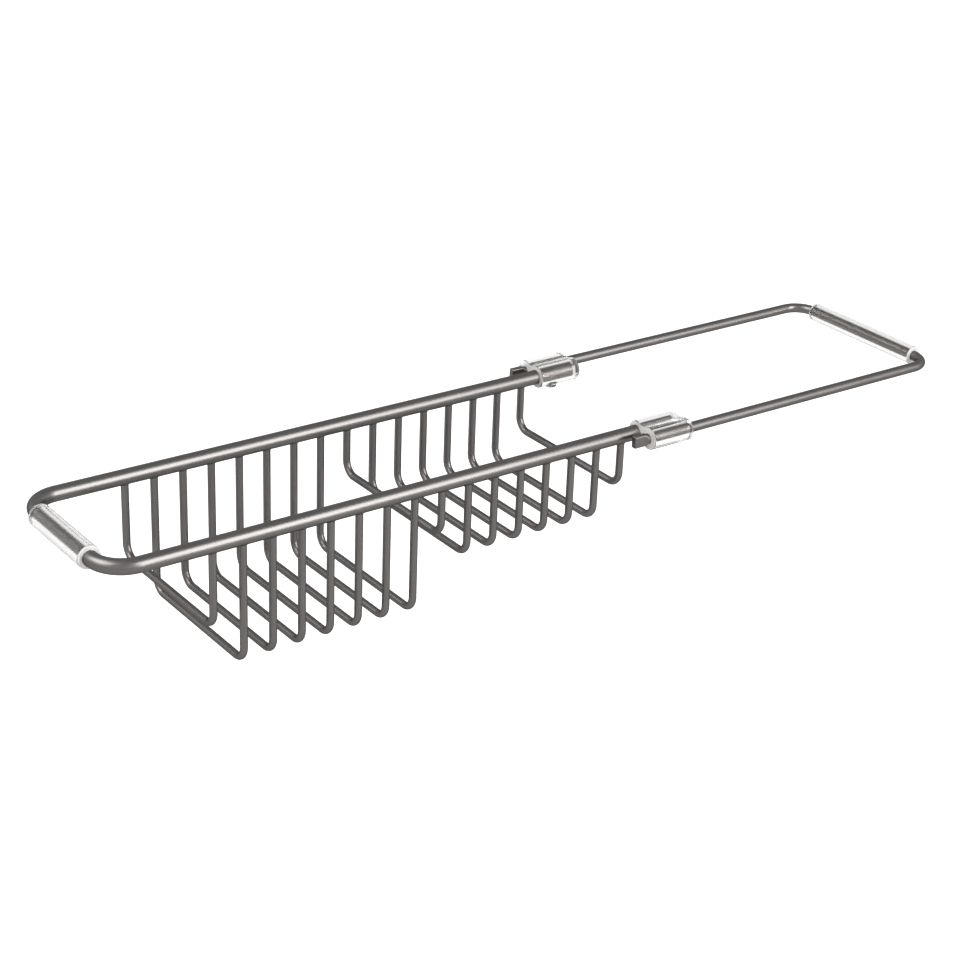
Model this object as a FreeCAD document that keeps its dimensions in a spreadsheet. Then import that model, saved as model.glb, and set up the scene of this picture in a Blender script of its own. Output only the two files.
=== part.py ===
import FreeCAD, Part
import math
import os
import Sketcher

# Over-the-sink sponge holder of coated steel wire. Two rails and a thin cross rod make the fixed frame,
# U-shaped wires hung under the rails make a deep and a shallow basket, and a lighter wire frame slides
# out along the rails in two clear clips. The holder hangs across a sink on a clear sleeve at each end.
# X runs along the rails from the cross rod, Y to the rear rail, Z up. Z 0 is the fixed sleeve's underside.

Vector = FreeCAD.Vector
Z_AXIS = Vector(0, 0, 1)
FRONT = -1
REAR = 1
DEEP_WIRES = 7
SHALLOW_WIRES = 6
# one end wire before the deep wires, a divider between the two baskets and one end wire after the shallow wires
WIRE_PITCHES = DEEP_WIRES + SHALLOW_WIRES + 2

# Driving dimensions, in millimetres
DRIVING = {
    "rail_diameter": (8.0, "wire of the two rails"),
    "rail_spacing": (88.0, "between the rails' centre lines"),
    "rail_corner_radius": (16.5, "bend of a rail, on its centre line"),
    "rail_lip": (1.0, "straight end of a rail after its bend"),
    "rod_diameter": (5.6, "cross rod between the rails' bent ends"),
    "weld_gap": (0.1, "left between welded wires"),
    "fixed_sleeve_diameter": (12.2, "clear sleeve on the cross rod"),
    "sliding_sleeve_diameter": (10.4, "clear sleeve on the sliding frame"),
    "sleeve_clearance": (0.2, "between a sleeve's bore and its bar"),
    "sleeve_end_gap": (0.3, "between a sleeve's end and the bend beside it"),
    "sleeve_round": (0.8, "rounding of a sleeve's ends"),
    "wire_diameter": (4.0, "wire of the baskets"),
    "wire_bend_radius": (7.5, "bend of a basket wire, on its centre line"),
    "wire_pitch": (16.2, "between neighbouring basket wires"),
    "first_wire_offset": (53.9, "from the cross rod to the first basket wire"),
    "deep_depth": (66.5, "from the rails to the floor of the deep basket"),
    "shallow_depth": (43.3, "from the rails to the floor of the shallow basket"),
    "divider_depth": (28.3, "from the rails to the divider's floor wire"),
    "clip_margin": (9.75, "from the last basket wire to the clips"),
    "socket_grip": (22.4, "length of rail inside a clip"),
    "rail_end_gap": (1.6, "between a rail's end and the clip's end wall"),
    "clip_end_wall": (2.4, "closed end of a clip's rail socket"),
    "clip_rail_wall": (2.1, "wall of a clip around the rail"),
    "clip_arm_wall": (3.3, "wall of a clip around the sliding arm"),
    "clip_valley_radius": (7.0, "rounding between a clip's two barrels"),
    "clip_round": (0.8, "rounding of a clip's ends"),
    "socket_clearance": (0.1, "between a rail and its clip"),
    "guide_clearance": (0.08, "between a sliding arm and its clip"),
    "arm_diameter": (5.6, "wire of the sliding frame"),
    "arm_gap": (3.2, "between a rail and the sliding arm beside it"),
    "arm_length": (207.75, "from the stop tabs to the sliding end bar"),
    "arm_corner_radius": (12.5, "bend of the sliding frame, on its centre line"),
    "stop_gap": (0.3, "between a stop tab and its clip, fully extended"),
    "tab_length": (6.65, "flat stretch of a stop tab"),
    "tab_taper": (2.6, "from the flat stretch to the round wire"),
    "tab_lip": (0.5, "a stop tab's height beyond the wire, above and below"),
    "tab_thickness": (3.5, "flattened thickness of a stop tab"),
    "tab_round": (0.9, "rounding of a stop tab's end"),
    "peg_offset": (10.5, "from a clip's inner end to its peg"),
    "peg_head_diameter": (6.8, "head of a peg under its clip"),
    "peg_head_height": (1.9, "thickness of a peg's head"),
    "peg_head_round": (0.4, "rounding of a peg's head"),
    "peg_seat_depth": (0.8, "flat cut into the clip for the peg's head"),
    "peg_diameter": (3.0, "shank of a peg"),
    "peg_grip": (2.0, "depth of a peg's hole in the rail"),
    "peg_clearance": (0.1, "around a peg in its holes and past its tip"),
}

# Sizes worked out from the driving dimensions
WORKED = {
    "rail_radius": "dimensions.rail_diameter / 2",
    "rod_radius": "dimensions.rod_diameter / 2",
    "wire_radius": "dimensions.wire_diameter / 2",
    "arm_radius": "dimensions.arm_diameter / 2",
    "rail_height": "dimensions.fixed_sleeve_diameter / 2",
    "rail_side": "dimensions.rail_spacing / 2",
    "rail_end_side": "rail_side - dimensions.rail_corner_radius - dimensions.rail_lip",
    "rod_length": "2 * (rail_end_side - dimensions.weld_gap)",
    "fixed_sleeve_length": "2 * (rail_end_side - dimensions.sleeve_end_gap)",
    "fixed_sleeve_radius": "dimensions.fixed_sleeve_diameter / 2",
    "fixed_bore_radius": "rod_radius + dimensions.sleeve_clearance",
    "cope_radius": "rail_radius + dimensions.weld_gap",
    "clip_start": f"dimensions.first_wire_offset + {WIRE_PITCHES} * dimensions.wire_pitch + dimensions.clip_margin",
    "rail_reach": "clip_start + dimensions.socket_grip",
    "socket_depth": "dimensions.socket_grip + dimensions.rail_end_gap",
    "clip_length": "socket_depth + dimensions.clip_end_wall",
    "socket_radius": "rail_radius + dimensions.socket_clearance",
    "guide_radius": "arm_radius + dimensions.guide_clearance",
    "rail_barrel_radius": "socket_radius + dimensions.clip_rail_wall",
    "arm_barrel_radius": "guide_radius + dimensions.clip_arm_wall",
    "arm_side": "rail_side + rail_radius + dimensions.arm_gap + arm_radius",
    "tab_end": "clip_start - dimensions.stop_gap",
    "tab_flat_end": "tab_end - dimensions.tab_taper",
    "tab_half_height": "arm_radius + dimensions.tab_lip",
    "tab_edge_radius": "dimensions.tab_thickness / 2",
    "end_bar_reach": "tab_end + dimensions.arm_length",
    "sliding_sleeve_length": "2 * (arm_side - dimensions.arm_corner_radius - dimensions.sleeve_end_gap)",
    "sliding_sleeve_radius": "dimensions.sliding_sleeve_diameter / 2",
    "sliding_bore_radius": "arm_radius + dimensions.sleeve_clearance",
    "peg_reach": "clip_start + dimensions.peg_offset",
    "peg_seat": "rail_barrel_radius - dimensions.peg_seat_depth",
    "peg_head_radius": "dimensions.peg_head_diameter / 2",
    "peg_shank_radius": "dimensions.peg_diameter / 2",
    "peg_hole_radius": "peg_shank_radius + dimensions.peg_clearance",
    "peg_seat_radius": "peg_head_radius + dimensions.peg_clearance",
    "peg_hole_end": "rail_radius - dimensions.peg_grip",
    "peg_shank_length": "peg_seat - peg_hole_end - dimensions.peg_clearance",
}

document = FreeCAD.newDocument("sponge_holder")
driving_sheet = document.addObject("Spreadsheet::Sheet", "dimensions")
worked_sheet = document.addObject("Spreadsheet::Sheet", "worked")


def fill_sheets():
    """Writes the driving dimensions as plain numbers and the worked sizes as formulas, each under its alias."""
    for row, (name, (value, note)) in enumerate(DRIVING.items(), start=1):
        driving_sheet.set(f"A{row}", name)
        driving_sheet.set(f"B{row}", str(value))
        driving_sheet.setAlias(f"B{row}", name)
        driving_sheet.set(f"C{row}", note)
    document.recompute()
    for row, (name, formula) in enumerate(WORKED.items(), start=1):
        worked_sheet.set(f"A{row}", name)
        worked_sheet.setAlias(f"B{row}", name)
        worked_sheet.set(f"B{row}", "=" + formula)
    document.recompute()


def size(name):
    """Present value of a driving dimension or a worked size."""
    sheet = driving_sheet if name in DRIVING else worked_sheet
    return float(sheet.get(name))


def ref(name):
    """Expression that reads a driving dimension or a worked size."""
    return f"dimensions.{name}" if name in DRIVING else f"worked.{name}"


def coordinate(spec):
    """Value of a coordinate, which is None for zero or a sign and a size's name."""
    return 0.0 if spec is None else spec[0] * size(spec[1])


def new_body(label):
    """Body named for its piece, lifted to the rails' height."""
    body = document.addObject("PartDesign::Body", label)
    body.Label = label
    body.setExpression("Placement.Base.z", ref("rail_height"))
    return body


def new_sketch(body, plane, offset=None):
    """Sketch on one of the body's own planes, moved along the plane's normal by a sign and a size."""
    sketch = body.newObject("Sketcher::SketchObject", body.Label + "_sketch")
    support = next(feature for feature in body.Origin.OriginFeatures if feature.Role == plane)
    sketch.AttachmentSupport = [(support, "")]
    sketch.MapMode = "FlatFace"
    if offset is not None:
        sign, name = offset
        sketch.setExpression("AttachmentOffset.Base.z", f"{sign} * {ref(name)}")
    return sketch


def constrain(sketch, name, *arguments):
    """Adds a dimension to the sketch, bound to a size."""
    index = sketch.addConstraint(Sketcher.Constraint(*arguments, size(name)))
    sketch.setExpression(f"Constraints[{index}]", ref(name))


def fix_across(sketch, geometry, point, spec):
    """Sets a point's distance from the sketch's vertical axis."""
    if spec is None:
        sketch.addConstraint(Sketcher.Constraint("PointOnObject", geometry, point, -2))
    elif spec[0] > 0:
        constrain(sketch, spec[1], "DistanceX", -1, 1, geometry, point)
    else:
        constrain(sketch, spec[1], "DistanceX", geometry, point, -1, 1)


def fix_up(sketch, geometry, point, spec):
    """Sets a point's distance from the sketch's horizontal axis."""
    if spec is None:
        sketch.addConstraint(Sketcher.Constraint("PointOnObject", geometry, point, -1))
    elif spec[0] > 0:
        constrain(sketch, spec[1], "DistanceY", -1, 1, geometry, point)
    else:
        constrain(sketch, spec[1], "DistanceY", geometry, point, -1, 1)


def draw_circle(sketch, across, up, radius):
    """Circle whose centre and radius are bound to sizes."""
    centre = Vector(coordinate(across), coordinate(up), 0)
    circle = sketch.addGeometry(Part.Circle(centre, Z_AXIS, size(radius)))
    fix_across(sketch, circle, 3, across)
    fix_up(sketch, circle, 3, up)
    constrain(sketch, radius, "Radius", circle)


def angle_of(vector):
    """Angle of a vector in the sketch's plane."""
    return math.atan2(vector.y, vector.x)


def arc_between(sketch, centre, start, end):
    """Arc the short way round from start to end. Gives its index and its point numbers at start and end."""
    circle = Part.Circle(centre, Z_AXIS, (start - centre).Length)
    first, last = start - centre, end - centre
    if first.cross(last).z > 0:
        return sketch.addGeometry(Part.ArcOfCircle(circle, angle_of(first), angle_of(last))), 1, 2
    return sketch.addGeometry(Part.ArcOfCircle(circle, angle_of(last), angle_of(first))), 2, 1


def towards(start, end):
    """Unit vector from one point to another."""
    step = end - start
    return step * (1 / step.Length)


def draw_path(sketch, corners, radius):
    """Straight runs along the sketch's axes, joined by tangent arcs of one radius. Gives the number of edges."""
    points = [Vector(coordinate(across), coordinate(up), 0) for across, up in corners]
    bend = size(radius)
    last_run = len(points) - 2
    runs = []
    for k in range(last_run + 1):
        direction = towards(points[k], points[k + 1])
        start = points[k] if k == 0 else points[k] + direction * bend
        end = points[k + 1] if k == last_run else points[k + 1] - direction * bend
        run = sketch.addGeometry(Part.LineSegment(start, end))
        level = abs(direction.x) > abs(direction.y)
        sketch.addConstraint(Sketcher.Constraint("Horizontal" if level else "Vertical", run))
        across, up = corners[k + 1]
        if 0 < k < last_run and level:
            fix_up(sketch, run, 1, up)
        elif 0 < k < last_run:
            fix_across(sketch, run, 1, across)
        runs.append(run)
    for run, point, (across, up) in ((runs[0], 1, corners[0]), (runs[-1], 2, corners[-1])):
        fix_across(sketch, run, point, across)
        fix_up(sketch, run, point, up)
    first_arc = None
    for k in range(1, last_run + 1):
        back = towards(points[k], points[k - 1]) * bend
        on = towards(points[k], points[k + 1]) * bend
        arc, start, end = arc_between(sketch, points[k] + back + on, points[k] + back, points[k] + on)
        sketch.addConstraint(Sketcher.Constraint("Tangent", runs[k - 1], 2, arc, start))
        sketch.addConstraint(Sketcher.Constraint("Tangent", arc, end, runs[k], 1))
        if first_arc is None:
            first_arc = arc
            constrain(sketch, radius, "Radius", arc)
        else:
            sketch.addConstraint(Sketcher.Constraint("Equal", first_arc, arc))
    return sketch.GeometryCount


def sweep(body, profile, path, edges):
    """Carries the profile along the path."""
    pipe = body.newObject("PartDesign::AdditivePipe", body.Label + "_sweep")
    pipe.Profile = profile
    pipe.Spine = (path, [f"Edge{k}" for k in range(1, edges + 1)])
    return pipe


def pad(body, sketch, length, both_ways=False, backwards=False):
    """Raises a sketch by a size, or by half of it each way."""
    feature = body.newObject("PartDesign::Pad", body.Label + "_pad")
    feature.Profile = sketch
    feature.SideType = "Symmetric" if both_ways else "One side"
    feature.Reversed = backwards
    feature.setExpression("Length", ref(length))
    return feature


def cut(body, sketch, length=None, both_ways=False, forwards=True):
    """Cuts a sketch's outline out of the body, along the sketch's normal unless told otherwise."""
    document.recompute()
    before = body.Shape.Volume
    feature = body.newObject("PartDesign::Pocket", body.Label + "_cut")
    feature.Profile = sketch
    feature.SideType = "Symmetric" if both_ways else "One side"
    feature.Reversed = forwards
    if length is None:
        feature.Type = "ThroughAll"
    else:
        feature.setExpression("Length", ref(length))
    document.recompute()
    if not body.Shape.Volume < before:
        raise RuntimeError(f"a cut in {body.Label} removes nothing")
    return feature


def edge_names(shape, wanted):
    """Names of the shape's edges that are among the wanted ones."""
    return [f"Edge{k}" for k, edge in enumerate(shape.Edges, start=1) if any(edge.isSame(other) for other in wanted)]


def rim_edges(shape):
    """Outer edges of every flat face."""
    return [edge for face in shape.Faces if isinstance(face.Surface, Part.Plane) for edge in face.OuterWire.Edges]


def low_edges(shape):
    """Outer edges of the lowest face."""
    return min(shape.Faces, key=lambda face: face.CenterOfMass.z).OuterWire.Edges


def inner_end_edges(shape):
    """Outer edges of the flat faces nearest the cross rod."""
    flat = [face for face in shape.Faces if isinstance(face.Surface, Part.Plane)]
    nearest = min(face.CenterOfMass.x for face in flat)
    return [edge for face in flat if face.CenterOfMass.x < nearest + 1e-4 for edge in face.OuterWire.Edges]


def round_edges(body, pick, radius):
    """Rounds the edges that a function picks from the shape of the body's last feature."""
    document.recompute()
    base = body.Tip
    feature = body.newObject("PartDesign::Fillet", body.Label + "_round")
    feature.Base = (base, edge_names(base.Shape, pick(base.Shape)))
    feature.setExpression("Radius", ref(radius))
    document.recompute()
    return feature


def make_rail(label, side):
    """Rail with its bent end towards the cross rod and a hole under it for its clip's peg."""
    body = new_body(label)
    path = new_sketch(body, "XY_Plane")
    corners = (
        ((1, "rail_reach"), (side, "rail_side")),
        (None, (side, "rail_side")),
        (None, (side, "rail_end_side")),
    )
    edges = draw_path(path, corners, "rail_corner_radius")
    profile = new_sketch(body, "YZ_Plane", (1, "rail_reach"))
    draw_circle(profile, (side, "rail_side"), None, "rail_radius")
    sweep(body, profile, path, edges)
    hole = new_sketch(body, "XY_Plane", (-1, "peg_hole_end"))
    draw_circle(hole, (1, "peg_reach"), (side, "rail_side"), "peg_hole_radius")
    cut(body, hole, forwards=False)
    return body


def make_cross_rod():
    """Thin rod welded between the rails' bent ends."""
    body = new_body("cross_rod")
    profile = new_sketch(body, "XZ_Plane")
    draw_circle(profile, None, None, "rod_radius")
    pad(body, profile, "rod_length", both_ways=True)
    return body


def make_sleeve(label, bar_reach, radius, bore_radius, length):
    """Clear sleeve with rounded ends on one of the end bars."""
    body = new_body(label)
    if bar_reach is not None:
        body.setExpression("Placement.Base.x", ref(bar_reach))
    profile = new_sketch(body, "XZ_Plane")
    draw_circle(profile, None, None, radius)
    draw_circle(profile, None, None, bore_radius)
    pad(body, profile, length, both_ways=True)
    round_edges(body, rim_edges, "sleeve_round")
    return body


def make_basket_wire(label, place, depth):
    """U-shaped wire hung between the rails, its two ends coped to the rails' undersides."""
    body = new_body(label)
    body.setExpression("Placement.Base.x", f"dimensions.first_wire_offset + {place} * dimensions.wire_pitch")
    path = new_sketch(body, "YZ_Plane")
    corners = (
        ((REAR, "rail_side"), None),
        ((REAR, "rail_side"), (-1, depth)),
        ((FRONT, "rail_side"), (-1, depth)),
        ((FRONT, "rail_side"), None),
    )
    edges = draw_path(path, corners, "wire_bend_radius")
    profile = new_sketch(body, "XY_Plane")
    draw_circle(profile, None, (REAR, "rail_side"), "wire_radius")
    sweep(body, profile, path, edges)
    cope = new_sketch(body, "YZ_Plane")
    for side in (FRONT, REAR):
        draw_circle(cope, (side, "rail_side"), None, "cope_radius")
    cut(body, cope, "rail_diameter", both_ways=True)
    return body


def make_basket_wires():
    """All basket wires in order along the rails."""
    plan = [("deep_basket_end_wire", "shallow_depth")]
    plan += [(f"deep_basket_wire_{k}", "deep_depth") for k in range(1, DEEP_WIRES + 1)]
    plan += [("basket_divider_wire", "divider_depth")]
    plan += [(f"shallow_basket_wire_{k}", "shallow_depth") for k in range(1, SHALLOW_WIRES + 1)]
    plan += [("shallow_basket_end_wire", "divider_depth")]
    return [make_basket_wire(label, place, depth) for place, (label, depth) in enumerate(plan)]


def draw_clip_outline(sketch, side):
    """Two barrels side by side, joined above and below by shallow tangent valleys."""
    rail, arm = Vector(side * size("rail_side"), 0, 0), Vector(side * size("arm_side"), 0, 0)
    rail_radius, arm_radius = size("rail_barrel_radius"), size("arm_barrel_radius")
    valley = size("clip_valley_radius")
    spacing = (arm - rail).Length
    along = ((rail_radius + valley) ** 2 - (arm_radius + valley) ** 2 + spacing ** 2) / (2 * spacing)
    rise = math.sqrt((rail_radius + valley) ** 2 - along ** 2)
    top = rail + Vector(side * along, rise, 0)
    bottom = rail + Vector(side * along, -rise, 0)
    rail_top = rail + towards(rail, top) * rail_radius
    rail_bottom = rail + towards(rail, bottom) * rail_radius
    arm_top = arm + towards(arm, top) * arm_radius
    arm_bottom = arm + towards(arm, bottom) * arm_radius

    def barrel(centre, radius, start, end):
        """Arc the long way round, counter-clockwise from start to end."""
        begin, finish = angle_of(start - centre), angle_of(end - centre)
        if finish < begin:
            finish += 2 * math.pi
        return sketch.addGeometry(Part.ArcOfCircle(Part.Circle(centre, Z_AXIS, radius), begin, finish))

    if side > 0:
        rail_arc = barrel(rail, rail_radius, rail_top, rail_bottom)
        arm_arc = barrel(arm, arm_radius, arm_bottom, arm_top)
        rail_ends, arm_ends = (1, 2), (2, 1)
    else:
        rail_arc = barrel(rail, rail_radius, rail_bottom, rail_top)
        arm_arc = barrel(arm, arm_radius, arm_top, arm_bottom)
        rail_ends, arm_ends = (2, 1), (1, 2)
    valleys = []
    for k, (centre, start, end) in enumerate(((top, rail_top, arm_top), (bottom, rail_bottom, arm_bottom))):
        arc, at_rail, at_arm = arc_between(sketch, centre, start, end)
        sketch.addConstraint(Sketcher.Constraint("Tangent", rail_arc, rail_ends[k], arc, at_rail))
        sketch.addConstraint(Sketcher.Constraint("Tangent", arm_arc, arm_ends[k], arc, at_arm))
        valleys.append(arc)
    for arc, place, radius in ((rail_arc, "rail_side", "rail_barrel_radius"), (arm_arc, "arm_side", "arm_barrel_radius")):
        fix_across(sketch, arc, 3, (side, place))
        fix_up(sketch, arc, 3, None)
        constrain(sketch, radius, "Radius", arc)
    constrain(sketch, "clip_valley_radius", "Radius", valleys[0])
    sketch.addConstraint(Sketcher.Constraint("Equal", *valleys))


def make_clip(label, side):
    """Clear clip: a blind socket on the rail's end and, beside it, an open guide for the sliding arm."""
    body = new_body(label)
    outline = new_sketch(body, "YZ_Plane", (1, "clip_start"))
    draw_clip_outline(outline, side)
    pad(body, outline, "clip_length")
    round_edges(body, rim_edges, "clip_round")
    socket = new_sketch(body, "YZ_Plane", (1, "clip_start"))
    draw_circle(socket, (side, "rail_side"), None, "socket_radius")
    cut(body, socket, "socket_depth")
    guide = new_sketch(body, "YZ_Plane", (1, "clip_start"))
    draw_circle(guide, (side, "arm_side"), None, "guide_radius")
    cut(body, guide, "clip_length")
    hole = new_sketch(body, "XY_Plane")
    draw_circle(hole, (1, "peg_reach"), (side, "rail_side"), "peg_hole_radius")
    cut(body, hole, forwards=False)
    seat = new_sketch(body, "XY_Plane", (-1, "peg_seat"))
    draw_circle(seat, (1, "peg_reach"), (side, "rail_side"), "peg_seat_radius")
    cut(body, seat, forwards=False)
    return body


def make_peg(label, side):
    """Clear peg pushed up through a clip into its rail, its round head left under the clip."""
    body = new_body(label)
    head = new_sketch(body, "XY_Plane", (-1, "peg_seat"))
    draw_circle(head, (1, "peg_reach"), (side, "rail_side"), "peg_head_radius")
    pad(body, head, "peg_head_height", backwards=True)
    round_edges(body, low_edges, "peg_head_round")
    shank = new_sketch(body, "XY_Plane", (-1, "peg_seat"))
    draw_circle(shank, (1, "peg_reach"), (side, "rail_side"), "peg_shank_radius")
    pad(body, shank, "peg_shank_length")
    return body


def draw_tab_section(sketch, side):
    """Section of the flattened wire: two flat faces with half-round edges above and below."""
    across = side * size("arm_side")
    radius = size("tab_edge_radius")
    rise = size("tab_half_height") - radius
    centres = (Vector(across, rise, 0), Vector(across, -rise, 0))
    right, left = Vector(radius, 0, 0), Vector(-radius, 0, 0)
    top = sketch.addGeometry(Part.ArcOfCircle(Part.Circle(centres[0], Z_AXIS, radius), 0, math.pi))
    face = sketch.addGeometry(Part.LineSegment(centres[0] + left, centres[1] + left))
    bottom = sketch.addGeometry(Part.ArcOfCircle(Part.Circle(centres[1], Z_AXIS, radius), math.pi, 2 * math.pi))
    back = sketch.addGeometry(Part.LineSegment(centres[1] + right, centres[0] + right))
    for first, second in ((top, face), (face, bottom), (bottom, back), (back, top)):
        sketch.addConstraint(Sketcher.Constraint("Tangent", first, 2, second, 1))
    fix_across(sketch, top, 3, (side, "arm_side"))
    sketch.addConstraint(Sketcher.Constraint("Vertical", face))
    constrain(sketch, "tab_edge_radius", "Radius", top)
    sketch.addConstraint(Sketcher.Constraint("Symmetric", top, 3, bottom, 3, -1))
    height = sketch.addConstraint(Sketcher.Constraint("DistanceY", -1, 1, top, 3, rise))
    sketch.setExpression(f"Constraints[{height}]", "worked.tab_half_height - worked.tab_edge_radius")


def draw_quartered_circle(sketch, side):
    """Round wire's section in four arcs, so that each meets one edge of the flattened section."""
    centre = Vector(side * size("arm_side"), 0, 0)
    circle = Part.Circle(centre, Z_AXIS, size("arm_radius"))
    quarter = math.pi / 2
    arcs = [sketch.addGeometry(Part.ArcOfCircle(circle, quarter * (k + 0.5), quarter * (k + 1.5))) for k in range(4)]
    for k, arc in enumerate(arcs):
        following = arcs[(k + 1) % 4]
        sketch.addConstraint(Sketcher.Constraint("Coincident", arc, 2, following, 1))
        if k:
            sketch.addConstraint(Sketcher.Constraint("Coincident", arc, 3, arcs[0], 3))
    fix_across(sketch, arcs[0], 3, (side, "arm_side"))
    fix_up(sketch, arcs[0], 3, None)
    constrain(sketch, "arm_radius", "Radius", arcs[0])
    sketch.addConstraint(Sketcher.Constraint("Symmetric", arcs[0], 1, arcs[2], 1, arcs[0], 3))


def add_stop_tab(body, side):
    """Flattens the inner end of one arm, taller than its guide, so that it stops at the clip."""
    round_section = new_sketch(body, "YZ_Plane", (1, "tab_end"))
    draw_quartered_circle(round_section, side)
    flat_section = new_sketch(body, "YZ_Plane", (1, "tab_flat_end"))
    draw_tab_section(flat_section, side)
    taper = body.newObject("PartDesign::AdditiveLoft", body.Label + "_taper")
    taper.Profile = round_section
    taper.Sections = [flat_section]
    taper.Ruled = True
    flat = new_sketch(body, "YZ_Plane", (1, "tab_flat_end"))
    draw_tab_section(flat, side)
    pad(body, flat, "tab_length", backwards=True)


def make_sliding_frame():
    """U-shaped frame of lighter wire around the rails' far ends, with stop tabs at its two inner ends."""
    body = new_body("sliding_frame")
    path = new_sketch(body, "XY_Plane")
    corners = (
        ((1, "tab_end"), (FRONT, "arm_side")),
        ((1, "end_bar_reach"), (FRONT, "arm_side")),
        ((1, "end_bar_reach"), (REAR, "arm_side")),
        ((1, "tab_end"), (REAR, "arm_side")),
    )
    edges = draw_path(path, corners, "arm_corner_radius")
    profile = new_sketch(body, "YZ_Plane", (1, "tab_end"))
    draw_circle(profile, (FRONT, "arm_side"), None, "arm_radius")
    sweep(body, profile, path, edges)
    for side in (FRONT, REAR):
        add_stop_tab(body, side)
    round_edges(body, inner_end_edges, "tab_round")
    return body


def check(pieces):
    """Stops if any object failed to compute or any piece isn't one valid solid."""
    document.recompute()
    for thing in document.Objects:
        if "Invalid" in thing.State or "Error" in thing.State:
            raise RuntimeError(f"{thing.Name} failed: {thing.State}")
    for piece in pieces:
        shape = piece.Shape
        if shape.isNull() or not shape.isValid() or len(shape.Solids) != 1:
            raise RuntimeError(f"{piece.Label} isn't one valid solid")


def main():
    """Builds every piece, checks them and writes one file for each."""
    fill_sheets()
    pieces = [make_rail("front_rail", FRONT), make_rail("rear_rail", REAR), make_cross_rod()]
    pieces.append(make_sleeve("fixed_end_sleeve", None, "fixed_sleeve_radius", "fixed_bore_radius", "fixed_sleeve_length"))
    pieces += make_basket_wires()
    pieces += [make_clip("front_clip", FRONT), make_clip("rear_clip", REAR)]
    pieces += [make_peg("front_clip_peg", FRONT), make_peg("rear_clip_peg", REAR)]
    pieces.append(make_sliding_frame())
    pieces.append(
        make_sleeve("sliding_end_sleeve", "end_bar_reach", "sliding_sleeve_radius", "sliding_bore_radius", "sliding_sleeve_length")
    )
    check(pieces)
    os.makedirs("parts", exist_ok=True)
    for piece in pieces:
        piece.Shape.exportStep(f"parts/{piece.Label}.step")
        print(f"{piece.Label:26s} {piece.Shape.Volume:10.1f} mm3")


main()
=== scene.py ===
import math

import bpy
import numpy as np
from bpy.props import FloatProperty, FloatVectorProperty, PointerProperty
from mathutils import Matrix, Vector


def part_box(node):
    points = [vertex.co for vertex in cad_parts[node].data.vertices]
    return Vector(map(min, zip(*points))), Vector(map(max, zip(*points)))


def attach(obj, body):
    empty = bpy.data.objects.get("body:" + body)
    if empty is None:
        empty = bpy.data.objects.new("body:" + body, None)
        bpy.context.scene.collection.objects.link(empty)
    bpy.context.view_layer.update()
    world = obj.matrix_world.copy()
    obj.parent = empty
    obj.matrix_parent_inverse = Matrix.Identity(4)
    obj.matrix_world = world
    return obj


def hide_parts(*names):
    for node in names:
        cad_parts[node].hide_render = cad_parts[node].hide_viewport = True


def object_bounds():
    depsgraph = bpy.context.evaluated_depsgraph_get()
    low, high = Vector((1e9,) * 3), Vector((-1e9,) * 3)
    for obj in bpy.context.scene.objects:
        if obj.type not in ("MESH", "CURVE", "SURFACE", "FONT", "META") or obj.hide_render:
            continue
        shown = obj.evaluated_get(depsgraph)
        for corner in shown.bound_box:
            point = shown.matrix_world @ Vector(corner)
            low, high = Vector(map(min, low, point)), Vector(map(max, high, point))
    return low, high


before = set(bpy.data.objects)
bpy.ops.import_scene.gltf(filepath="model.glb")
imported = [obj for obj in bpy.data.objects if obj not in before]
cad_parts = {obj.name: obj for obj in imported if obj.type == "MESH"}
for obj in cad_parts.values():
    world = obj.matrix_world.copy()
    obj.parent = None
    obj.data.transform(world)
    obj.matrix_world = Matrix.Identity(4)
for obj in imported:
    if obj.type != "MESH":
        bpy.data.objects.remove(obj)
CAD_LOW, CAD_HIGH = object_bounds()

bl_info = {
    "name": "Sponge holder",
    "version": (1, 0, 0),
    "blender": (4, 5, 0),
    "location": "View3D > Sidebar > Holder",
    "description": "Dresses the extending over-the-sink sponge holder around its packed solids",
    "category": "Object",
}

STEEL = "graphite_steel"
CLEAR = "clear_plastic"
FIXED_BODY, SLIDING_BODY = "holder", "slider"
MM = 0.001

# Fineness of the meshes
RAIL_SEGMENTS = 64
WIRE_SEGMENTS = 40
SLEEVE_SEGMENTS = 128
BEND_STEPS = 24
ROUND_STEPS = 7
FLARE_STEPS = 7
TAPER_STEPS = 9
# Rings this far from an edge keep the long faces beside it evenly shaded
GUARD = 0.08 * MM

# How deep a weld's first ring lies in the rail
WELD_SINK = 0.3 * MM
# Room under a weld's flare before the plain wire starts
WELD_ROOM = 0.8 * MM
# Depth of a wire's closing point below the rail's axis, as a share of the rail's radius
WELD_POLE = 0.7

# Noise of the finishes, as one over its grain in metres and its detail
CLOUD_NOISE = (45.0, 3.0)
FLAKE_NOISE = (2200.0, 2.0)
PEEL_NOISE = (700.0, 1.0)
STREAK_NOISE = (900.0, 2.0)
GROUND_NOISE = (1500.0, 2.0)

# How far that noise moves the coat's shade and the finishes' roughness, and the least roughness of a matt end
COAT_SHADE = 0.2
CLOUD_SPAN = 0.06
FLAKE_SPAN = 0.12
STREAK_SPAN = 0.06
GROUND_SPAN = 0.2
GROUND_LEAST = 0.4
# Bump of the coat's orange-peel skin
PEEL_STRENGTH = 0.25
PEEL_DEPTH = 0.02 * MM
# Share of its scale that the streaks' noise keeps along a sleeve
STREAK_STRETCH = 0.03
# Squares of the normal's share along a piece between which its end passes from polished to matt
SLEEVE_END_FACING = (0.04, 0.4)
CLIP_END_FACING = (0.2, 0.7)
# Faces this near a clip's end belong to that end
CLIP_END_DEPTH = 1.0 * MM

# Camera's film width in millimetres, and its nearest sight
FILM_WIDTH = 36.0
NEAREST_SIGHT = 0.01
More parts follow.
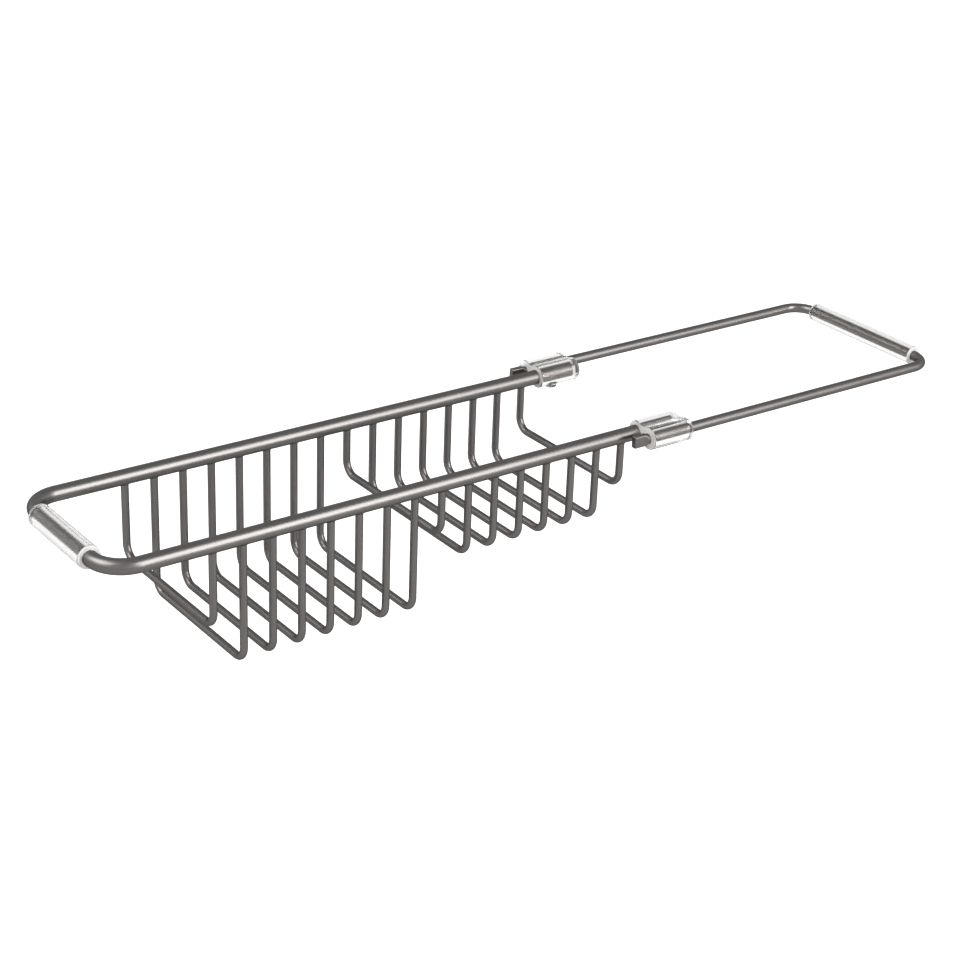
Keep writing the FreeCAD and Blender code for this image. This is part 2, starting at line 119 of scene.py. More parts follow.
# Softboxes: each one's way out from the holder's middle, and its width and height
LAMP_DISTANCE = 3.0
FRONT_WAY, FRONT_SIZE = Vector((0.37, -0.81, 0.44)), (1.3, 2.7)
SIDE_WAY, SIDE_SIZE = Vector((-0.66, 0.19, 0.7)), (2.6, 1.8)
# Sines of the angles above the horizon between which the room's backdrop fades into the overhead
BACKDROP_TOP, OVERHEAD_FROM = 0.3, 0.7
# Floor's half width and grey
FLOOR_REACH = 30.0
FLOOR_GREY = 0.5
# Floor's own glow to the eye, in a mirror and through clear plastic
EYE_GLOW, MIRROR_GLOW, CLEAR_GLOW = 0.8, 0.1, 0.32
WHITE = (1.0, 1.0, 1.0, 1.0)

# Sizes read from the solids
RAIL_LOW, RAIL_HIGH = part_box("rear_rail")
RAIL_RADIUS = (RAIL_HIGH.z - RAIL_LOW.z) / 2
RAIL_Z = (RAIL_HIGH.z + RAIL_LOW.z) / 2
RAIL_SIDE = RAIL_HIGH.y - RAIL_RADIUS
FRAME_LOW, FRAME_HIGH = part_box("sliding_frame")
ROD_LOW, ROD_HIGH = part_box("cross_rod")
ROD_RADIUS = (ROD_HIGH.z - ROD_LOW.z) / 2
CLIP_LOW, CLIP_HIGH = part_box("front_clip")
WIRE_NODES = sorted(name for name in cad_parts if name.endswith("_wire") or "_wire_" in name)


class WireSizes(bpy.types.PropertyGroup):
    """Sizes of the bars and wires that the solids' boxes don't give."""

    rail_bend: FloatProperty(
        name="Rail bend", description="Radius of a rail's bend, on its centre line",
        default=16.5 * MM, min=0.0, subtype="DISTANCE", unit="LENGTH")
    wire_bend: FloatProperty(
        name="Basket wire bend", description="Radius of a basket wire's bends, on its centre line",
        default=7.5 * MM, min=0.0, subtype="DISTANCE", unit="LENGTH")
    arm_bend: FloatProperty(
        name="Sliding frame bend", description="Radius of the sliding frame's corners, on its centre line",
        default=12.5 * MM, min=0.0, subtype="DISTANCE", unit="LENGTH")
    arm_diameter: FloatProperty(
        name="Sliding frame wire", description="Diameter of the sliding frame's wire",
        default=5.6 * MM, min=0.0, subtype="DISTANCE", unit="LENGTH")
    weld_flare: FloatProperty(
        name="Weld flare", description="Hollow fillet where a basket wire is welded to a rail",
        default=0.6 * MM, min=0.0, subtype="DISTANCE", unit="LENGTH")
    cut_round: FloatProperty(
        name="Cut end rounding", description="Rounding of a bar's cut end",
        default=0.2 * MM, min=0.0, subtype="DISTANCE", unit="LENGTH")
    tab_thickness: FloatProperty(
        name="Stop tab thickness", description="Thickness of the flattened inner end of a sliding arm",
        default=3.5 * MM, min=0.0, subtype="DISTANCE", unit="LENGTH")
    tab_length: FloatProperty(
        name="Stop tab length", description="Flat stretch of a stop tab",
        default=6.65 * MM, min=0.0, subtype="DISTANCE", unit="LENGTH")
    tab_taper: FloatProperty(
        name="Stop tab taper", description="Stretch from the flat tab to the round wire",
        default=2.6 * MM, min=0.0, subtype="DISTANCE", unit="LENGTH")
    tab_round: FloatProperty(
        name="Stop tab rounding", description="Rounding of a stop tab's long edges",
        default=0.8 * MM, min=0.0, subtype="DISTANCE", unit="LENGTH")
    tab_end_round: FloatProperty(
        name="Stop tab end rounding", description="Rounding of a stop tab's cut end",
        default=0.6 * MM, min=0.0, subtype="DISTANCE", unit="LENGTH")


class ClearSizes(bpy.types.PropertyGroup):
    """Sizes of the clear sleeves that the solids' boxes don't give."""

    sleeve_clearance: FloatProperty(
        name="Sleeve clearance", description="Gap between a sleeve's bore and its bar",
        default=0.2 * MM, min=0.0, subtype="DISTANCE", unit="LENGTH")
    sleeve_round: FloatProperty(
        name="Sleeve rounding", description="Rounding of a sleeve's outer ends",
        default=0.8 * MM, min=0.0, subtype="DISTANCE", unit="LENGTH")
    bore_round: FloatProperty(
        name="Bore rounding", description="Rounding of a sleeve's bore ends",
        default=0.2 * MM, min=0.0, subtype="DISTANCE", unit="LENGTH")


class Finishes(bpy.types.PropertyGroup):
    """Colours and gloss of the steel's coat and of the clear plastic."""

    coat_colour: FloatVectorProperty(
        name="Graphite coat", description="Middle grey of the steel's coat",
        default=(0.172, 0.163, 0.158), min=0.0, max=1.0, size=3, subtype="COLOR")
    coat_roughness: FloatProperty(
        name="Coat roughness", description="Middle roughness of the satin coat",
        default=0.36, min=0.0, max=1.0, subtype="FACTOR")
    coat_rim: FloatProperty(
        name="Coat rim", description="Brightness of the coat where it turns away from the eye",
        default=0.4, min=0.0, max=1.0, subtype="FACTOR")
    clip_colour: FloatVectorProperty(
        name="Clip tint", description="Tint of the clips' hard clear plastic",
        default=(0.93, 0.925, 0.915), min=0.0, max=1.0, size=3, subtype="COLOR")
    clip_end_colour: FloatVectorProperty(
        name="Clip end tint", description="Tint of the clips' matt ends",
        default=(0.6, 0.58, 0.565), min=0.0, max=1.0, size=3, subtype="COLOR")
    clip_roughness: FloatProperty(
        name="Clip roughness", description="Roughness of the clips' polished faces",
        default=0.0, min=0.0, max=1.0, subtype="FACTOR")
    clip_mirror: FloatProperty(
        name="Clip mirror",
        description="Brightness of what the clips' skin mirrors, where 1 is bare plastic",
        default=0.35, min=0.0, max=1.0, subtype="FACTOR")
    clip_index: FloatProperty(
        name="Clip index", description="How strongly the clips' hard plastic bends light",
        default=1.585, min=1.0, max=2.0)
    closed_end_matt: FloatProperty(
        name="Matt closed end", description="How matt the clips' closed ends are, against their open ends",
        default=0.3, min=0.0, max=1.0, subtype="FACTOR")
    tubing_colour: FloatVectorProperty(
        name="Sleeve tint", description="Tint of the sleeves' soft clear plastic",
        default=(0.95, 0.94, 0.93), min=0.0, max=1.0, size=3, subtype="COLOR")
    tubing_roughness: FloatProperty(
        name="Sleeve roughness", description="Middle roughness of the sleeves' satin skin",
        default=0.15, min=0.0, max=1.0, subtype="FACTOR")
    tubing_mirror: FloatProperty(
        name="Sleeve mirror",
        description="Brightness of what the sleeves' skin mirrors, where 1 is bare plastic",
        default=0.3, min=0.0, max=1.0, subtype="FACTOR")
    tubing_index: FloatProperty(
        name="Sleeve index", description="How strongly the sleeves' soft plastic bends light",
        default=1.49, min=1.0, max=2.0)
    matt_weight: FloatProperty(
        name="Matt clearness", description="Share of light that goes through matt ends of the clear plastic",
        default=0.4, min=0.0, max=1.0, subtype="FACTOR")


class StageSettings(bpy.types.PropertyGroup):
    """Camera, lamps and floor."""

    camera_place: FloatVectorProperty(
        name="Camera", description="Where the camera stands",
        default=(-0.4002, -0.8700, 0.4779), size=3, subtype="TRANSLATION", unit="LENGTH")
    camera_turn: FloatProperty(
        name="Turn", description="Camera's turn from +Y towards +X",
        default=0.633567148, subtype="ANGLE", unit="ROTATION")
    camera_dip: FloatProperty(
        name="Dip", description="Camera's tilt below the horizon",
        default=0.434265738, subtype="ANGLE", unit="ROTATION")
    camera_roll: FloatProperty(
        name="Roll", description="Camera's roll about its own axis",
        default=-0.0373735709, subtype="ANGLE", unit="ROTATION")
    camera_lens: FloatProperty(
        name="Lens", description="Focal length in millimetres on a 36 mm sensor", default=84.54, min=1.0)
    front_power: FloatProperty(
        name="Front softbox", description="Power of the tall softbox in front",
        default=85.0, min=0.0, unit="POWER")
    side_power: FloatProperty(
        name="Side softbox", description="Power of the wide softbox to the left",
        default=76.0, min=0.0, unit="POWER")
    room_level: FloatProperty(
        name="Room level", description="Brightness of the room overhead, where 1 is white",
        default=0.5, min=0.0)
    floor_drop: FloatProperty(
        name="Floor drop", description="How far below the holder the floor lies",
        default=0.3, min=0.0, subtype="DISTANCE", unit="LENGTH")


class Node:
    """An output socket in a node tree. Sums and products of sockets and numbers add Math nodes."""

    def __init__(self, tree, socket=None):
        self.tree = tree
        self.socket = socket

    def add(self, kind, settings=None, inputs=None, output=0):
        """Adds a node of a type with its settings first, then the values or links of its sockets."""
        node = self.tree.nodes.new(kind)
        for name, value in (settings or {}).items():
            setattr(node, name, value)
        for name, value in (inputs or {}).items():
            if isinstance(value, Node):
                self.tree.links.new(value.socket, node.inputs[name])
            else:
                node.inputs[name].default_value = value
        return Node(self.tree, node.outputs[output] if node.outputs else None)

    def maths(self, operation, first, second):
        """Math node on two sockets or numbers."""
        return self.add("ShaderNodeMath", {"operation": operation}, {0: first, 1: second})

    def __add__(self, other):
        return self.maths("ADD", self, other)

    __radd__ = __add__

    def __mul__(self, other):
        return self.maths("MULTIPLY", self, other)

    __rmul__ = __mul__


def opaque(colour):
    """Colour property as the four numbers that a colour socket takes."""
    return (*colour, 1.0)


def grey(level):
    """Grey of a level, as four numbers."""
    return (level, level, level, 1.0)


def scaled(colour, factor):
    """Colour made lighter or darker, as four numbers."""
    return tuple(min(1.0, channel * factor) for channel in colour) + (1.0,)


def new_tree(name):
    """Empty material and the start of its nodes."""
    material = bpy.data.materials.new(name)
    material.use_nodes = True
    material.node_tree.nodes.clear()
    return material, Node(material.node_tree)


def noise(start, place, scale, detail):
    """Grey noise, from about 0.3 to 0.7, whose grain is one over the scale in metres."""
    return start.add(
        "ShaderNodeTexNoise", {}, {"Vector": place, "Scale": scale, "Detail": detail}, "Fac")


def coat_material(finish):
    """Satin graphite coat: metallic grey with faint cloudiness, fine flake and a slight orange-peel skin."""
    material, start = new_tree("graphite_coat")
    place = start.add("ShaderNodeTexCoord", output="Object")
    cloud = noise(start, place, *CLOUD_NOISE)
    flake = noise(start, place, *FLAKE_NOISE)
    peel = noise(start, place, *PEEL_NOISE)
    shade = cloud * 0.5 + flake * 0.5
    dark, light = (scaled(finish.coat_colour, 1 + shift) for shift in (-COAT_SHADE, COAT_SHADE))
    colour = start.add(
        "ShaderNodeMix", {"data_type": "RGBA"}, {"Factor": shade, "A": dark, "B": light}, "Result")
    smoothest = finish.coat_roughness - (FLAKE_SPAN + CLOUD_SPAN) / 2
    roughness = flake * FLAKE_SPAN + (cloud * CLOUD_SPAN + smoothest)
    skin = start.add(
        "ShaderNodeBump", {}, {"Strength": PEEL_STRENGTH, "Distance": PEEL_DEPTH, "Height": peel})
    surface = start.add("ShaderNodeBsdfPrincipled", {}, {
        "Base Color": colour, "Metallic": 1.0, "Roughness": roughness, "Normal": skin,
        "Specular Tint": grey(finish.coat_rim)})
    start.add("ShaderNodeOutputMaterial", {}, {"Surface": surface})
    return material


def clear_surface(start, tint, roughness, index, clearness, mirror):
    """Clear plastic of a given roughness, number or socket, that lets a share of the light through."""
    return start.add("ShaderNodeBsdfPrincipled", {}, {
        "Base Color": opaque(tint), "Roughness": roughness, "IOR": index, "Transmission Weight": clearness,
        "Specular Tint": grey(mirror)})


def facing_along(start, axis, least, most):
    """1 on faces that look either way along an axis, and 0 on faces that look across it.

    Between, it eases from the least to the most square of the normal's share along the axis.
    """
    facing = start.add("ShaderNodeTexCoord", output="Normal")
    lengthwise = start.add("ShaderNodeSeparateXYZ", {}, {"Vector": facing}, axis)
    return start.add("ShaderNodeMapRange", {"interpolation_type": "SMOOTHSTEP"}, {
        "Value": lengthwise * lengthwise, "From Min": least, "From Max": most})


def matt_grain(start, place):
    """Uneven roughness of a cut or ground end."""
    return noise(start, place, *GROUND_NOISE) * GROUND_SPAN + GROUND_LEAST


def sleeve_material(finish):
    """Soft clear tubing: a satin skin with faint extrusion streaks, and matt cut ends."""
    material, start = new_tree("soft_clear_tubing")
    place = start.add("ShaderNodeTexCoord", output="Object")
    drawn = start.add("ShaderNodeMapping", {}, {"Vector": place, "Scale": (1.0, STREAK_STRETCH, 1.0)})
    streaks = noise(start, drawn, *STREAK_NOISE)
    gloss = streaks * STREAK_SPAN + (finish.tubing_roughness - STREAK_SPAN / 2)
    tint, index, mirror = finish.tubing_colour, finish.tubing_index, finish.tubing_mirror
    skin = clear_surface(start, tint, gloss, index, 1.0, mirror)
    matt = clear_surface(start, tint, matt_grain(start, place), index, finish.matt_weight, mirror)
    share = facing_along(start, "Y", *SLEEVE_END_FACING)
    surface = start.add("ShaderNodeMixShader", {}, {0: share, 1: skin, 2: matt})
    start.add("ShaderNodeOutputMaterial", {}, {"Surface": surface})
    return material


def clip_material(finish):
    """Hard clear moulding: a polished skin, a matt open end and a partly matt closed end.

    Light from the lamps goes straight through it.
    """
    material, start = new_tree("hard_clear_moulding")
    place = start.add("ShaderNodeTexCoord", output="Object")
    along = start.add("ShaderNodeSeparateXYZ", {}, {"Vector": place}, "X")
    open_end = start.maths("LESS_THAN", along, CLIP_LOW.x + CLIP_END_DEPTH)
    closed_end = start.maths("GREATER_THAN", along, CLIP_HIGH.x - CLIP_END_DEPTH)
    mattness = open_end + closed_end * finish.closed_end_matt
    share = facing_along(start, "X", *CLIP_END_FACING) * mattness
    index, mirror = finish.clip_index, finish.clip_mirror
    skin = clear_surface(start, finish.clip_colour, finish.clip_roughness, index, 1.0, mirror)
    grain = matt_grain(start, place)
    matt = clear_surface(start, finish.clip_end_colour, grain, index, finish.matt_weight, mirror)
    solid = start.add("ShaderNodeMixShader", {}, {0: share, 1: skin, 2: matt})
    from_lamp = start.add("ShaderNodeLightPath", output="Is Shadow Ray")
    through = start.add("ShaderNodeBsdfTransparent", {}, {"Color": opaque(finish.clip_colour)})
    surface = start.add("ShaderNodeMixShader", {}, {0: from_lamp, 1: solid, 2: through})
    start.add("ShaderNodeOutputMaterial", {}, {"Surface": surface})
    return material


def finish_named(name, maker):
    """A finish's material, made at its first use."""
    made = bpy.data.materials.get(name)
    return made if made else maker(bpy.context.scene.holder_finishes)


def coat():
    """The steel's graphite coat."""
    return finish_named("graphite_coat", coat_material)


def tubing():
    """The sleeves' soft clear tubing."""
    return finish_named("soft_clear_tubing", sleeve_material)


def moulding():
    """The clips' hard clear moulding."""
    return finish_named("hard_clear_moulding", clip_material)


def dress_node(name, material):
    """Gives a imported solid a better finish."""
    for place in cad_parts[name].material_slots:
        place.material = material


def grid_faces(rows, columns, wrap_rows):
    """Quads of a grid that closes on itself along its columns, and along its rows too if asked."""
    index = np.arange(rows * columns).reshape(rows, columns)
    following = np.roll(index, -1, axis=0)
    if not wrap_rows:
        index, following = index[:-1], following[:-1]
    quads = np.stack([index, np.roll(index, -1, 1), np.roll(following, -1, 1), following], axis=-1)
    return quads.reshape(-1, 4)


def signed_volume(points, quads, fans):
    """Volume inside the faces, negative if they look inwards: a sixth of the sum of a . (b x c)."""
    triangles = np.concatenate([quads[:, [0, 1, 2]], quads[:, [0, 2, 3]], fans])
    a, b, c = (points[triangles[:, k]] for k in range(3))
    return np.einsum("ij,ij->", a, np.cross(b, c)) / 6


def add_piece(name, grid, node, slot, body, poles=None):
    """Makes a smooth closed piece from a grid of points.

    It has a pole at each end, unless the grid is a ring.
    """
    rows, columns = grid.shape[:2]
    points = grid.reshape(-1, 3)
    quads = grid_faces(rows, columns, poles is None)
    fans = np.empty((0, 3), int)
    if poles is not None:
        first = np.arange(columns)
        last = first + (rows - 1) * columns
        start = np.stack([np.roll(first, -1), first, np.full(columns, len(points))], axis=-1)
        end = np.stack([last, np.roll(last, -1), np.full(columns, len(points) + 1)], axis=-1)
        fans = np.concatenate([start, end])
        points = np.concatenate([points, np.asarray(poles, float)])
    if signed_volume(points, quads, fans) < 0:
        quads, fans = quads[:, ::-1], fans[:, ::-1]
    mesh = bpy.data.meshes.new(name)
    mesh.from_pydata(points.tolist(), [], quads.tolist() + fans.tolist())
    mesh.polygons.foreach_set("use_smooth", np.ones(len(mesh.polygons), bool))
    mesh.update()
    mesh.materials.append(coat() if slot == STEEL else tubing())
    piece = bpy.data.objects.new(name, mesh)
    bpy.context.scene.collection.objects.link(piece)
    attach(piece, body)
    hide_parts(node)


def bent_line(corners, bend):
    """Centre line through square corners: at each, centre + bend (sin t before - cos t after).

    There t goes from 0 to a quarter turn. Gives the points and the directions along them.
    """
    corners = np.asarray(corners, float)
    runs = np.diff(corners, axis=0)
    runs /= np.linalg.norm(runs, axis=1, keepdims=True)
    t = np.linspace(0, math.pi / 2, BEND_STEPS)[:, None]
    points, along = [corners[:1]], [runs[:1]]
    for corner, before, after in zip(corners[1:-1], runs[:-1], runs[1:]):
        points.append(corner + bend * (after - before) + bend * (np.sin(t) * before - np.cos(t) * after))
        along.append(np.cos(t) * before + np.sin(t) * after)
    points.append(corners[-1:])
    along.append(runs[-1:])
    return np.concatenate(points), np.concatenate(along)


def bar_rings(points, along, upright, radius, segments, rise=0.0, reach=0.0):
    """Rings round a line: point + upright (rise sign(sin a) + r sin a) + side (reach sign(cos a) + r cos a).

    The upright is square to the line's plane, and the side is along x upright. Rise and reach are 0 on a
    round bar, and part the four rounded corners of a flat one.
    """
    upright = np.asarray(upright, float)
    a = ((np.arange(segments) + 0.5) * 2 * math.pi / segments)[None, :]
    radius, rise, reach = (np.broadcast_to(size, len(points))[:, None] for size in (radius, rise, reach))
    up = rise * np.sign(np.sin(a)) + radius * np.sin(a)
    out = reach * np.sign(np.cos(a)) + radius * np.cos(a)
    side = np.cross(along, upright)[:, None, :]
    return points[:, None, :] + up[:, :, None] * upright + out[:, :, None] * side


def cut_end(point, along, radius, rounding):
    """Stations of a cut end: rounding (1 - cos t) along the bar, radius - rounding (1 - sin t) across it.

    Two guard rings keep the flat face and the bar's side evenly shaded. Gives points and radii from the end
    inwards.
    """
    t = np.linspace(0, math.pi / 2, ROUND_STEPS)
    inward = np.concatenate([[0.0], rounding * (1 - np.cos(t)), [rounding + GUARD]])
    across = np.concatenate([[radius - rounding - GUARD], radius - rounding * (1 - np.sin(t)), [radius]])
    return point + inward[:, None] * along, across


def make_rail(sizes, side, name, node):
    """Rail: straight run, quarter bend and short lip, with its two ends cut and rounded."""
    low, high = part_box(node)
    lip = low.y if side > 0 else high.y
    y = side * RAIL_SIDE
    corners = [(high.x, y, RAIL_Z), (0.0, y, RAIL_Z), (0.0, lip, RAIL_Z)]
    points, along = bent_line(corners, sizes.rail_bend)
    start, start_radius = cut_end(points[0], along[0], RAIL_RADIUS, sizes.cut_round)
    end, end_radius = cut_end(points[-1], -along[-1], RAIL_RADIUS, sizes.cut_round)
    middle = points[1:-1]
    line = np.concatenate([start, middle, end[::-1]])
    directions = np.concatenate([
        np.tile(along[0], (len(start), 1)), along[1:-1], np.tile(along[-1], (len(end), 1))])
    radius = np.concatenate([start_radius, np.full(len(middle), RAIL_RADIUS), end_radius[::-1]])
    rings = bar_rings(line, directions, (0, 0, 1), radius, RAIL_SEGMENTS)
    add_piece(name, rings, node, STEEL, FIXED_BODY, (points[0], points[-1]))


def make_cross_rod(sizes):
    """Cross rod: one straight round bar between the rails' lips."""
    points = np.array([(0.0, ROD_LOW.y, RAIL_Z), (0.0, ROD_HIGH.y, RAIL_Z)])
    along = np.array([0.0, 1.0, 0.0])
    start, start_radius = cut_end(points[0], along, ROD_RADIUS, sizes.cut_round)
    end, end_radius = cut_end(points[1], -along, ROD_RADIUS, sizes.cut_round)
    line = np.concatenate([start, end[::-1]])
    radii = np.concatenate([start_radius, end_radius[::-1]])
    rings = bar_rings(line, np.tile(along, (len(line), 1)), (0, 0, 1), radii, RAIL_SEGMENTS)
    add_piece("cross_rod_bar", rings, "cross_rod", STEEL, FIXED_BODY, points)


def weld_rings(x, y, radius, flare, facing):
    """Welded top of a wire: at s under the rail its radius is r + f (1 - sqrt(1 - (1 - s / f) ** 2)).

    Each ring lies on the rail's curve, at rail height - sqrt(R ** 2 - v ** 2) - s for a point v beside the
    wire's axis. The first ring is inside the rail. Facing is the side that the wire's rings start from.
    """
    a = ((np.arange(WIRE_SEGMENTS) + 0.5) * 2 * math.pi / WIRE_SEGMENTS)[None, :]
    s = np.linspace(0, 1, FLARE_STEPS)
    spread = radius + flare * (1 - np.sqrt(1 - (1 - s) ** 2))
    spread = np.concatenate([spread[:1], spread, [radius]])[:, None]
    below = np.concatenate([[-WELD_SINK], s * flare, [flare + GUARD]])[:, None]
    beside = spread * np.cos(a)
    z = RAIL_Z - np.sqrt(RAIL_RADIUS ** 2 - beside ** 2) - below
    return np.stack([x + spread * np.sin(a), y + facing * beside, z], axis=-1)


def make_basket_wire(sizes, node):
    """Basket wire: a U in one plane, its two tops flared into their welds under the rails."""
    low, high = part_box(node)
    radius = (high.x - low.x) / 2
    x = (high.x + low.x) / 2
    top = RAIL_Z - RAIL_RADIUS - sizes.weld_flare - WELD_ROOM
    floor = low.z + radius
    corners = [(x, -RAIL_SIDE, top), (x, -RAIL_SIDE, floor), (x, RAIL_SIDE, floor), (x, RAIL_SIDE, top)]
    points, along = bent_line(corners, sizes.wire_bend)
    rings = bar_rings(points, along, (1, 0, 0), radius, WIRE_SEGMENTS)
    front = weld_rings(x, -RAIL_SIDE, radius, sizes.weld_flare, -1)
    rear = weld_rings(x, RAIL_SIDE, radius, sizes.weld_flare, 1)
    rings = np.concatenate([front, rings, rear[::-1]])
    poles = [(x, side * RAIL_SIDE, RAIL_Z - WELD_POLE * RAIL_RADIUS) for side in (-1, 1)]
    add_piece(node + "_bar", rings, node, STEEL, FIXED_BODY, poles)


def tab_stations(sizes, end, tall, radius):
    """Stations of a stop tab from its cut end to the round wire, as place, corner radius, rise and reach.

    The end is rounded as on a cut bar. Along the taper, all pass to the round wire's by
    t ** 2 (3 - 2 t).
    """
    corner = sizes.tab_round
    inward, across = cut_end(np.zeros(3), np.array([1.0, 0.0, 0.0]), corner, sizes.tab_end_round)
    t = np.linspace(0, 1, TAPER_STEPS)
    ease = t * t * (3 - 2 * t)
    distance = np.concatenate([inward[:, 0], sizes.tab_length + t * sizes.tab_taper])
    radii = np.concatenate([across, corner + (radius - corner) * ease])
    flatness = np.concatenate([np.ones(len(across)), 1 - ease])
    rise = (tall / 2 - corner) * flatness
    reach = (sizes.tab_thickness / 2 - corner) * flatness
    return end + distance, radii, rise, reach


def make_sliding_frame(sizes):
    """Sliding frame: a U of round wire whose two inner ends are pressed flat into stop tabs."""
    radius = sizes.arm_diameter / 2
    side = FRAME_HIGH.y - radius
    bar = FRAME_HIGH.x - radius
    place, *section = tab_stations(sizes, FRAME_LOW.x, FRAME_HIGH.z - FRAME_LOW.z, radius)
    inner = place[-1] + GUARD
    corners = [(inner, -side, RAIL_Z), (bar, -side, RAIL_Z), (bar, side, RAIL_Z), (inner, side, RAIL_Z)]
    points, along = bent_line(corners, sizes.arm_bend)
    front = np.stack([place, np.full_like(place, -side), np.full_like(place, RAIL_Z)], axis=-1)
    rear = front * (1, -1, 1)
    line = np.concatenate([front, points, rear[::-1]])
    run = np.tile(along[0], (len(front), 1))
    directions = np.concatenate([run, along, -run])
    radii, rise, reach = (
        np.concatenate([tab, np.full(len(points), wire), tab[::-1]])
        for tab, wire in zip(section, (radius, 0.0, 0.0)))
    rings = bar_rings(line, directions, (0, 0, 1), radii, RAIL_SEGMENTS, rise, reach)
    add_piece("sliding_frame_bar", rings, "sliding_frame", STEEL, SLIDING_BODY, (front[0], rear[0]))


def corner_arc(r, y, rounding, start):
    """Quarter circle of a section's corner: (r, y) + rounding (cos t, sin t).

    There t goes from start to start + 90 degrees. A guard point stands just before it and just after it,
    straight on.
    """
    end = start + math.pi / 2
    t = np.concatenate([[start], np.linspace(start, end, ROUND_STEPS), [end]])
    on = np.zeros_like(t)
    on[0], on[-1] = -GUARD, GUARD
    across = r + rounding * np.cos(t) - on * np.sin(t)
    along = y + rounding * np.sin(t) + on * np.cos(t)
    return np.stack([across, along], axis=-1)


def make_sleeve(sizes, node, body, bar_radius):
    """Clear sleeve: a closed section with four rounded corners, turned once about the bar's axis along Y."""
    low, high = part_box(node)
    centre = (low + high) / 2
    outer = (high.z - low.z) / 2
    bore = bar_radius + sizes.sleeve_clearance
    half = (high.y - low.y) / 2
    big, small = sizes.sleeve_round, sizes.bore_round
    corners = [
        corner_arc(outer - big, half - big, big, 0.0),
        corner_arc(bore + small, half - small, small, math.pi / 2),
        corner_arc(bore + small, small - half, small, math.pi),
        corner_arc(outer - big, big - half, big, math.pi * 1.5),
    ]
    section = np.concatenate(corners)
    a = np.arange(SLEEVE_SEGMENTS) * 2 * math.pi / SLEEVE_SEGMENTS
    across, along = section[:, :1], section[:, 1:]
    x = centre.x + across * np.cos(a)
    z = RAIL_Z + across * np.sin(a)
    rings = np.stack([x, np.broadcast_to(along, x.shape), z], axis=-1)
    add_piece(node + "_tube", rings, node, CLEAR, body)


class HOLDER_OT_rails(bpy.types.Operator):
    """Make the two rails and the cross rod between their bent ends"""

    bl_idname = "holder.rails"
    bl_label = "Rails and cross rod"

    def execute(self, context):
        sizes = context.scene.holder_wire
        make_rail(sizes, -1, "front_rail_bar", "front_rail")
        make_rail(sizes, 1, "rear_rail_bar", "rear_rail")
        make_cross_rod(sizes)
        return {"FINISHED"}


class HOLDER_OT_basket_wires(bpy.types.Operator):
    """Make the U-shaped wires of both baskets with their welds"""

    bl_idname = "holder.basket_wires"
    bl_label = "Basket wires"

    def execute(self, context):
        for node in WIRE_NODES:
            make_basket_wire(context.scene.holder_wire, node)
        return {"FINISHED"}


class HOLDER_OT_sliding_frame(bpy.types.Operator):
    """Make the sliding frame with its flattened stop tabs"""

    bl_idname = "holder.sliding_frame"
    bl_label = "Sliding frame"

    def execute(self, context):
        make_sliding_frame(context.scene.holder_wire)
        return {"FINISHED"}


class HOLDER_OT_sleeves(bpy.types.Operator):
    """Make the clear sleeves on the two end bars"""

    bl_idname = "holder.sleeves"
    bl_label = "End sleeves"

    def execute(self, context):
        sizes = context.scene.holder_clear
        make_sleeve(sizes, "fixed_end_sleeve", FIXED_BODY, ROD_RADIUS)
        make_sleeve(sizes, "sliding_end_sleeve", SLIDING_BODY, context.scene.holder_wire.arm_diameter / 2)
        return {"FINISHED"}


class HOLDER_OT_clips(bpy.types.Operator):
    """Finish the two clear clips and their pegs"""

    bl_idname = "holder.clips"
    bl_label = "Clips and pegs"

    def execute(self, context):
        for node in ("front_clip", "rear_clip", "front_clip_peg", "rear_clip_peg"):
            dress_node(node, moulding())
        return {"FINISHED"}


def add_camera(stage):
    """Camera looking along (sin turn cos dip, cos turn cos dip, -sin dip), rolled about that axis."""
    turn, dip, roll = stage.camera_turn, stage.camera_dip, stage.camera_roll
    forward = Vector((math.sin(turn) * math.cos(dip), math.cos(turn) * math.cos(dip), -math.sin(dip)))
    level = Vector((math.cos(turn), -math.sin(turn), 0.0))
    down = forward.cross(level)
    right = math.cos(roll) * level + math.sin(roll) * down
    up = math.sin(roll) * level - math.cos(roll) * down
    data = bpy.data.cameras.new("camera")
    data.lens = stage.camera_lens
    data.sensor_width = FILM_WIDTH
    data.clip_start = NEAREST_SIGHT
    camera = bpy.data.objects.new("camera", data)
    turned = Matrix((right, up, -forward)).transposed().to_4x4()
    camera.matrix_world = Matrix.Translation(stage.camera_place) @ turned
    bpy.context.scene.collection.objects.link(camera)
    bpy.context.scene.camera = camera


def add_softbox(name, way, size, power):
    """Soft rectangular lamp out along a way from the holder's middle, which it faces."""
    middle = (CAD_LOW + CAD_HIGH) / 2
    place = middle + LAMP_DISTANCE * way
    data = bpy.data.lights.new(name, "AREA")
    data.shape = "RECTANGLE"
    data.size, data.size_y = size
    data.energy = power
    lamp = bpy.data.objects.new(name, data)
    lamp.location = place
    lamp.rotation_mode = "QUATERNION"
    lamp.rotation_quaternion = (middle - place).to_track_quat("-Z", "Y")
    bpy.context.scene.collection.objects.link(lamp)


def add_world(stage):
    """Plain room: a white backdrop up to a low height all round, and a soft grey overhead."""
    world = bpy.data.worlds.new("room")
    world.use_nodes = True
    world.node_tree.nodes.clear()
    start = Node(world.node_tree)
    way = start.add("ShaderNodeTexCoord", output="Generated")
    height = start.add("ShaderNodeSeparateXYZ", {}, {"Vector": way}, "Z")
    level = start.add("ShaderNodeMapRange", {"interpolation_type": "SMOOTHSTEP"}, {
        "Value": height, "From Min": BACKDROP_TOP, "From Max": OVERHEAD_FROM,
        "To Min": 1.0, "To Max": stage.room_level})
    light = start.add("ShaderNodeBackground", {}, {"Color": WHITE, "Strength": level})
    start.add("ShaderNodeOutputWorld", {}, {"Surface": light})
    bpy.context.scene.world = world


